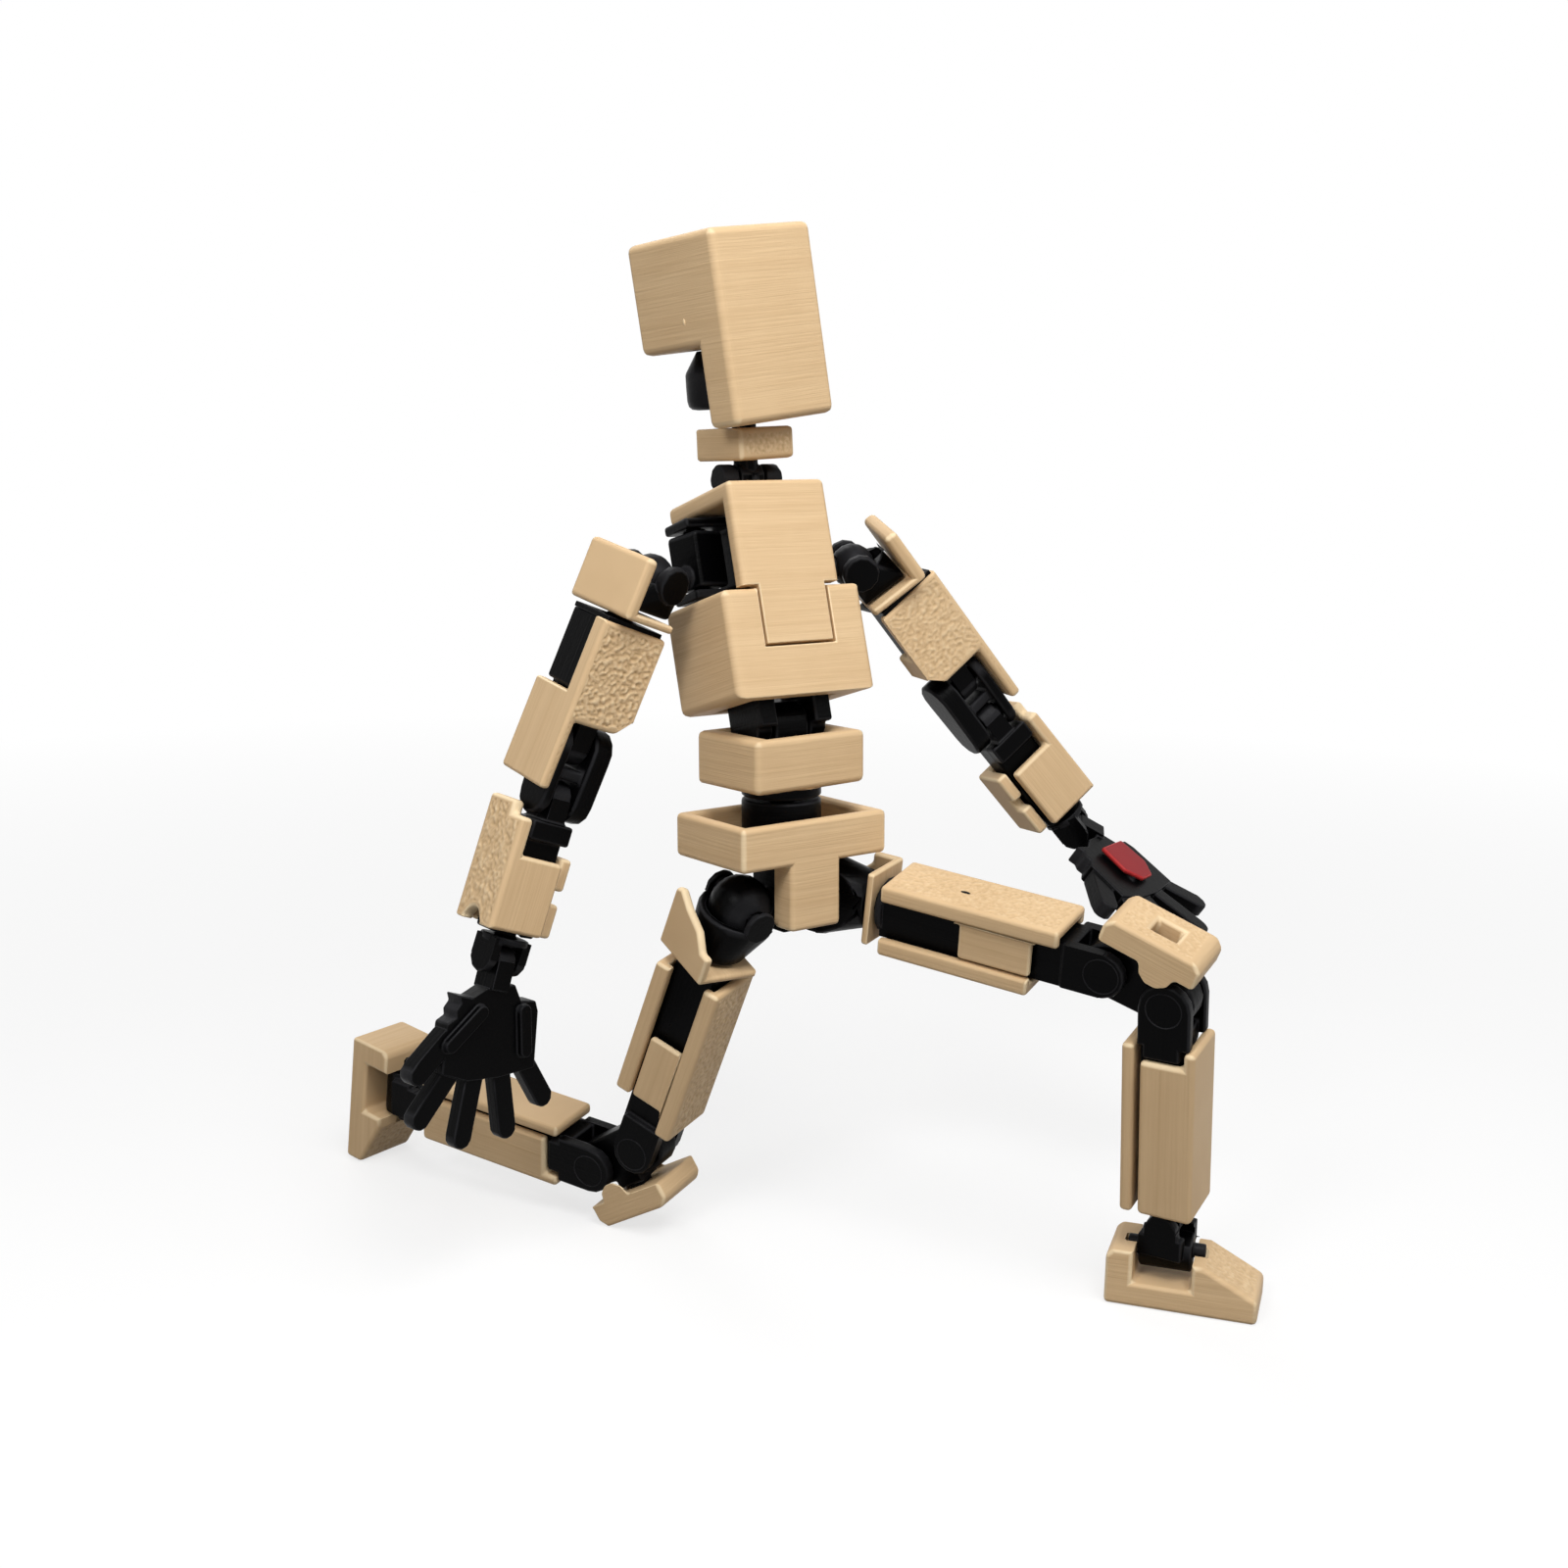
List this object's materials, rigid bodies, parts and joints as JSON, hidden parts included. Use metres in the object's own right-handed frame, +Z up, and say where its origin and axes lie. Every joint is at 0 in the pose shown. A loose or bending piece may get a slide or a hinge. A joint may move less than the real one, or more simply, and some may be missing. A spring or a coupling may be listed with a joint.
{
  "type": "articulated figure",
  "caption": "Poseable block figure in a low lunge: pale printed armour shells on a dark jointed frame, plain block head, open hands.",
  "frame": {"origin": "middle of the footprint of the posed figure, at the height of the sole it stands on", "axes": "+Z up, the pelvis faces -Y, the figure's left side is +X"},
  "size_m": [0.0912, 0.0944, 0.1095],
  "materials": {
    "pale_print": "fine printed layers, soft satin",
    "dark_print": "black printed plastic, satin to glossy",
    "red_print": "red printed plastic"
  },
  "bodies": {
    "pelvis": {"hip_frame": "dark_print", "pelvis_shell": "pale_print"},
    "waist": {"waist_frame": "dark_print", "waist_shell": "pale_print"},
    "chest": {"chest_frame": "dark_print", "chest_upper_shell": "pale_print", "chest_lower_shell": "pale_print"},
    "neck": {"neck_frame": "dark_print", "neck_collar": "pale_print"},
    "head": {"head_shell": "pale_print"},
    "left_clavicle_arm": {"left_clavicle": "dark_print"},
    "left_shoulder_core": {"left_shoulder_ball": "dark_print"},
    "left_shoulder": {"left_shoulder_block": "dark_print", "left_shoulder_pad": "pale_print"},
    "left_upper_arm": {"left_upper_arm_frame": "dark_print", "left_upper_arm_shell": "pale_print"},
    "left_elbow": {"left_elbow_link": "dark_print"},
    "left_forearm": {"left_forearm_frame": "dark_print", "left_forearm_outer_shell": "pale_print", "left_forearm_inner_shell": "pale_print"},
    "left_wrist": {"left_wrist_link": "dark_print"},
    "left_open_hand": {"left_hand": "dark_print"},
    "right_clavicle_arm": {"right_clavicle": "dark_print"},
    "right_shoulder_core": {"right_shoulder_ball": "dark_print"},
    "right_shoulder": {"right_shoulder_block": "dark_print", "right_shoulder_pad": "pale_print"},
    "right_upper_arm": {"right_upper_arm_frame": "dark_print", "right_upper_arm_shell": "pale_print"},
    "right_elbow": {"right_elbow_link": "dark_print"},
    "right_forearm": {"right_forearm_frame": "dark_print", "right_forearm_outer_shell": "pale_print", "right_forearm_inner_shell": "pale_print"},
    "right_wrist": {"right_wrist_link": "dark_print"},
    "right_open_hand": {"right_hand": "dark_print"},
    "left_hip_core": {"left_hip_ball": "dark_print"},
    "left_hip": {"left_hip_block": "dark_print", "left_hip_cap": "pale_print"},
    "left_thigh": {"left_thigh_frame": "dark_print", "left_thigh_front_shell": "pale_print", "left_thigh_back_shell": "pale_print"},
    "left_knee": {"left_knee_link": "dark_print", "left_kneecap": "pale_print"},
    "left_shin": {"left_shin_frame": "dark_print", "left_shin_front_shell": "pale_print", "left_shin_back_shell": "pale_print"},
    "left_ankle": {"left_ankle_link": "dark_print"},
    "left_sole": {"left_foot": "pale_print"},
    "right_hip_core": {"right_hip_ball": "dark_print"},
    "right_hip": {"right_hip_block": "dark_print", "right_hip_cap": "pale_print"},
    "right_thigh": {"right_thigh_frame": "dark_print", "right_thigh_front_shell": "pale_print", "right_thigh_back_shell": "pale_print"},
    "right_knee": {"right_knee_link": "dark_print", "right_kneecap": "pale_print"},
    "right_shin": {"right_shin_frame": "dark_print", "right_shin_front_shell": "pale_print", "right_shin_back_shell": "pale_print"},
    "right_ankle": {"right_ankle_link": "dark_print"},
    "right_sole": {"right_foot": "pale_print"}
  },
  "joints": [
    {"name": "waist_turn", "type": "hinge", "parent": "pelvis", "child": "waist", "pos_m": [-0.00531, -0.00429, 0.05077], "axis": [0, 0.0349, 0.9994], "range_deg": [-18, 33]},
    {"name": "chest_bend", "type": "hinge", "parent": "waist", "child": "chest", "pos_m": [-0.00531, -0.00402, 0.05846], "axis": [0.9982, -0.0593, 0.0021], "range_deg": [-11, 36]},
    {"name": "neck_pitch", "type": "hinge", "parent": "chest", "child": "neck", "pos_m": [-0.00492, 0.00336, 0.08329], "axis": [0.9982, -0.0593, 0.0021], "range_deg": [-40, 24]},
    {"name": "head_turn", "type": "hinge", "parent": "neck", "child": "head", "pos_m": [-0.00552, 0.00728, 0.08937], "axis": [-0.0421, 0.0535, 0.9977], "range_deg": [-80, 80]},
    {"name": "left_clavicle_turn", "type": "hinge", "parent": "chest", "child": "left_clavicle_arm", "pos_m": [0.0005, 0.0031, 0.07309], "axis": [0.0162, 0.3069, 0.9516], "range_deg": [-12, 30]},
    {"name": "left_shoulder_swing", "type": "hinge", "parent": "left_clavicle_arm", "child": "left_shoulder_core", "pos_m": [0.00702, 0.00018, 0.07392], "axis": [0.9064, -0.4063, 0.1155], "range_deg": [-120, 34]},
    {"name": "left_shoulder_raise", "type": "hinge", "parent": "left_shoulder_core", "child": "left_shoulder", "pos_m": [0.00702, 0.00018, 0.07392], "axis": [0.3871, 0.9084, 0.1578], "range_deg": [-57, 32]},
    {"name": "left_arm_turn", "type": "hinge", "parent": "left_shoulder", "child": "left_upper_arm", "pos_m": [0.00837, -0.00061, 0.07517], "axis": [-0.6284, 0.1347, 0.7661], "range_deg": [-100, 76]},
    {"name": "left_elbow_upper", "type": "hinge", "parent": "left_upper_arm", "child": "left_elbow", "pos_m": [0.02031, -0.00317, 0.06061], "axis": [0.7483, -0.1642, 0.6427], "range_deg": [-70, 4]},
    {"name": "left_elbow_lower", "type": "hinge", "parent": "left_elbow", "child": "left_forearm", "pos_m": [0.02362, -0.00427, 0.05649], "axis": [0.7483, -0.1642, 0.6427], "range_deg": [-62, 4]},
    {"name": "left_wrist_turn", "type": "hinge", "parent": "left_forearm", "child": "left_wrist", "pos_m": [0.0238, -0.0037, 0.05642], "axis": [-0.5928, 0.2694, 0.759], "range_deg": [-60, 90]},
    {"name": "left_hand_bend", "type": "hinge", "parent": "left_wrist", "child": "left_open_hand", "pos_m": [0.03411, -0.00838, 0.04322], "axis": [-0.6653, -0.6949, -0.273], "range_deg": [-80, 38]},
    {"name": "right_clavicle_turn", "type": "hinge", "parent": "chest", "child": "right_clavicle_arm", "pos_m": [-0.01029, 0.00374, 0.07307], "axis": [-0.0162, -0.3069, -0.9516], "range_deg": [-18, 30]},
    {"name": "right_shoulder_swing", "type": "hinge", "parent": "right_clavicle_arm", "child": "right_shoulder_core", "pos_m": [-0.01735, 0.00246, 0.07361], "axis": [0.9811, 0.1788, -0.0744], "range_deg": [-120, 30]},
    {"name": "right_shoulder_raise", "type": "hinge", "parent": "right_shoulder_core", "child": "right_shoulder", "pos_m": [-0.01735, 0.00246, 0.07361], "axis": [0.1611, -0.9667, -0.1989], "range_deg": [-75, 8]},
    {"name": "right_arm_turn", "type": "hinge", "parent": "right_shoulder", "child": "right_upper_arm", "pos_m": [-0.0192, 0.00202, 0.07423], "axis": [-0.3481, 0.1329, -0.928], "range_deg": [-95, 80]},
    {"name": "right_elbow_upper", "type": "hinge", "parent": "right_upper_arm", "child": "right_elbow", "pos_m": [-0.02581, 0.00454, 0.0566], "axis": [0.9369, 0.0821, -0.3397], "range_deg": [-70, 4]},
    {"name": "right_elbow_lower", "type": "hinge", "parent": "right_elbow", "child": "right_forearm", "pos_m": [-0.02767, 0.00489, 0.05155], "axis": [0.9369, 0.0821, -0.3397], "range_deg": [-62, 4]},
    {"name": "right_wrist_turn", "type": "hinge", "parent": "right_forearm", "child": "right_wrist", "pos_m": [-0.02772, 0.00549, 0.05156], "axis": [-0.3404, -0.0059, -0.9403], "range_deg": [-85, 90]},
    {"name": "right_hand_bend", "type": "hinge", "parent": "right_wrist", "child": "right_open_hand", "pos_m": [-0.03364, 0.00538, 0.0352], "axis": [0.9291, 0.1514, -0.3373], "range_deg": [-60, 60]},
    {"name": "left_hip_flex", "type": "hinge", "parent": "pelvis", "child": "left_hip_core", "pos_m": [0.00009, -0.00467, 0.03977], "axis": [1, 0, 0], "range_deg": [-9, 55]},
    {"name": "left_hip_spread", "type": "hinge", "parent": "left_hip_core", "child": "left_hip", "pos_m": [0.00009, -0.00467, 0.03977], "axis": [0, 0.1167, -0.9932], "range_deg": [-21, 20]},
    {"name": "left_thigh_turn", "type": "hinge", "parent": "left_hip", "child": "left_thigh", "pos_m": [0.00136, -0.00409, 0.03984], "axis": [0.4195, -0.9016, -0.1059], "range_deg": [-45, 40]},
    {"name": "left_knee_upper", "type": "hinge", "parent": "left_thigh", "child": "left_knee", "pos_m": [0.01495, -0.0333, 0.03641], "axis": [0.903, 0.4024, 0.1508], "range_deg": [-15, 55]},
    {"name": "left_knee_lower", "type": "hinge", "parent": "left_knee", "child": "left_shin", "pos_m": [0.01796, -0.03909, 0.03387], "axis": [0.903, 0.4024, 0.1508], "range_deg": [-69, 6]},
    {"name": "left_ankle_pitch", "type": "hinge", "parent": "left_shin", "child": "left_ankle", "pos_m": [0.02131, -0.03723, 0.00886], "axis": [0.903, 0.4024, 0.1508], "range_deg": [-30, 30]},
    {"name": "left_foot_roll", "type": "hinge", "parent": "left_ankle", "child": "left_sole", "pos_m": [0.02172, -0.03694, 0.0056], "axis": [-0.5757, 0.8177, 0], "range_deg": [-25, 25]},
    {"name": "right_hip_flex", "type": "hinge", "parent": "pelvis", "child": "right_hip_core", "pos_m": [-0.01071, -0.00467, 0.03977], "axis": [1, 0, 0], "range_deg": [-115, 8]},
    {"name": "right_hip_spread", "type": "hinge", "parent": "right_hip_core", "child": "right_hip", "pos_m": [-0.01071, -0.00467, 0.03977], "axis": [0, -0.9205, -0.3907], "range_deg": [-18, 3]},
    {"name": "right_thigh_turn", "type": "hinge", "parent": "right_hip", "child": "right_thigh", "pos_m": [-0.0121, -0.0047, 0.03984], "axis": [-0.0541, 0.3902, -0.9192], "range_deg": [-30, 50]},
    {"name": "right_knee_upper", "type": "hinge", "parent": "right_thigh", "child": "right_knee", "pos_m": [-0.01386, 0.00794, 0.01006], "axis": [0.9086, 0.401, 0.1167], "range_deg": [-38, 32]},
    {"name": "right_knee_lower", "type": "hinge", "parent": "right_knee", "child": "right_shin", "pos_m": [-0.01594, 0.01367, 0.00661], "axis": [0.9086, 0.401, 0.1167], "range_deg": [-35, 35]},
    {"name": "right_ankle_pitch", "type": "hinge", "parent": "right_shin", "child": "right_ankle", "pos_m": [-0.02637, 0.03659, 0.00905], "axis": [0.9086, 0.401, 0.1167], "range_deg": [-30, 30]},
    {"name": "right_foot_roll", "type": "hinge", "parent": "right_ankle", "child": "right_sole", "pos_m": [-0.02773, 0.03957, 0.00945], "axis": [-0.0246, 0.1229, -0.9921], "range_deg": [-25, 25]}
  ]
}
